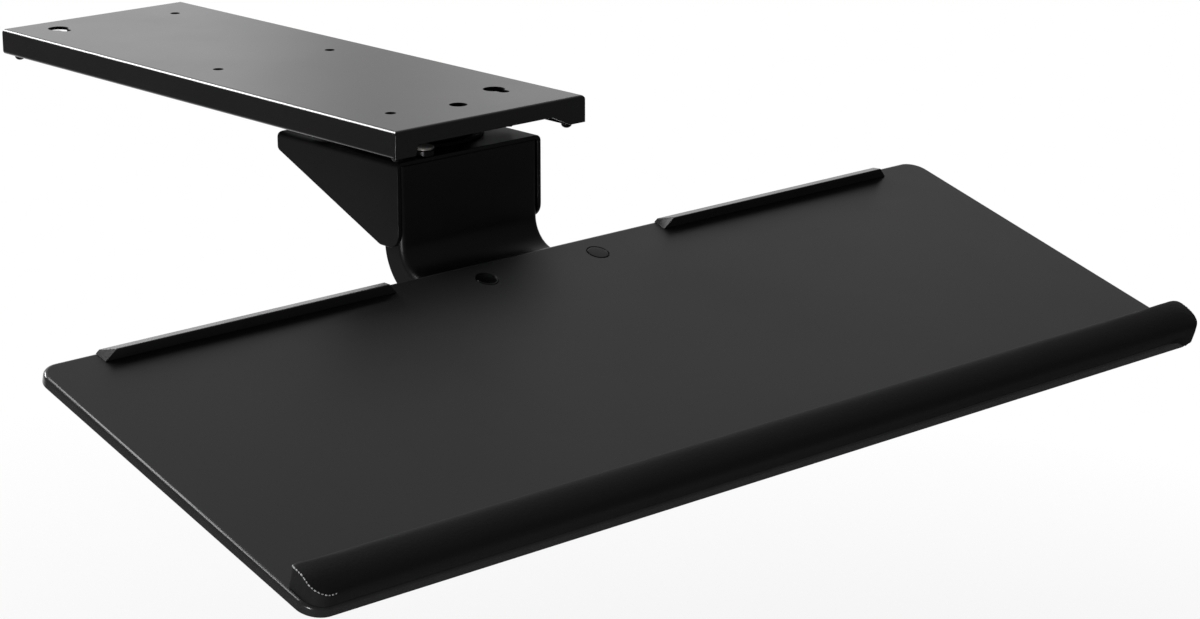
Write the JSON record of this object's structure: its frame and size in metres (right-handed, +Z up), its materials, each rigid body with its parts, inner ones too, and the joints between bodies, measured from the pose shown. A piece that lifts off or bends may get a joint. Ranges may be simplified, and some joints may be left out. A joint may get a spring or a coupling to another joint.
{
  "type": "under-desk keyboard tray",
  "caption": "Under-desk keyboard tray: a folded steel track, a sliding and swivelling folded arm, and a wide tilting board with keyboard stops and a soft wrist rest.",
  "frame": {"origin": "middle of the track's top face, where it meets the underside of the desk", "axes": "+Z up, +X along the tray's width to the user's right, +Y to the back of the desk, so the user sits at -Y"},
  "size_m": [0.654, 0.6493, 0.1467],
  "materials": {
    "track_steel": "satin",
    "black_steel": "satin",
    "zinc_steel": "satin",
    "nylon": "matte",
    "black_plastic": "satin",
    "bumper_rubber": "matte",
    "board_laminate": "matte",
    "leatherette": "satin"
  },
  "bodies": {
    "track": {"track": "track_steel", "end_stop_screws": "zinc_steel", "end_bumpers": "bumper_rubber"},
    "carriage": {"carriage_plate": "zinc_steel", "glide_front_left": "nylon", "glide_front_right": "nylon", "glide_rear_left": "nylon", "glide_rear_right": "nylon", "swivel_base": "nylon", "base_screws": "zinc_steel", "pivot_bolt": "zinc_steel", "friction_washer": "nylon", "disc_spring": "zinc_steel", "lock_nut": "zinc_steel"},
    "arm": {"swivel_bracket": "black_steel", "pivot_bush": "nylon", "swivel_stop": "zinc_steel", "arm": "black_steel", "tilt_bolt": "zinc_steel", "spacer_tube": "zinc_steel", "tilt_washers": "nylon", "knob_washer": "zinc_steel"},
    "knob": {"tilt_knob": "black_plastic"},
    "tray": {"tray_bracket": "black_steel", "tray_board": "board_laminate", "tray_bolts": "zinc_steel", "tray_nuts": "zinc_steel", "cap_left": "board_laminate", "cap_right": "board_laminate", "bracket_screws": "zinc_steel", "back_stop_left": "black_plastic", "back_stop_right": "black_plastic", "back_stop_screws": "zinc_steel", "rest_base": "black_plastic", "rest_pad": "leatherette", "rest_screws": "zinc_steel"}
  },
  "joints": [
    {"name": "track_slide", "type": "slide", "parent": "track", "child": "carriage", "axis": [0, 1, 0], "range_m": [0, 0.247]},
    {"name": "arm_swivel", "type": "hinge", "parent": "carriage", "child": "arm", "pos_m": [0, -0.1237, -0.024], "axis": [0, 0, 1], "range_deg": [-75, 75]},
    {"name": "tray_tilt", "type": "hinge", "parent": "arm", "child": "tray", "pos_m": [0, -0.2147, -0.0978], "axis": [-1, 0, 0], "range_deg": [0, 24]},
    {"name": "knob_turn", "type": "hinge", "parent": "arm", "child": "knob", "pos_m": [0.065, -0.2147, -0.0978], "axis": [1, 0, 0], "range_deg": [0, 360]}
  ]
}
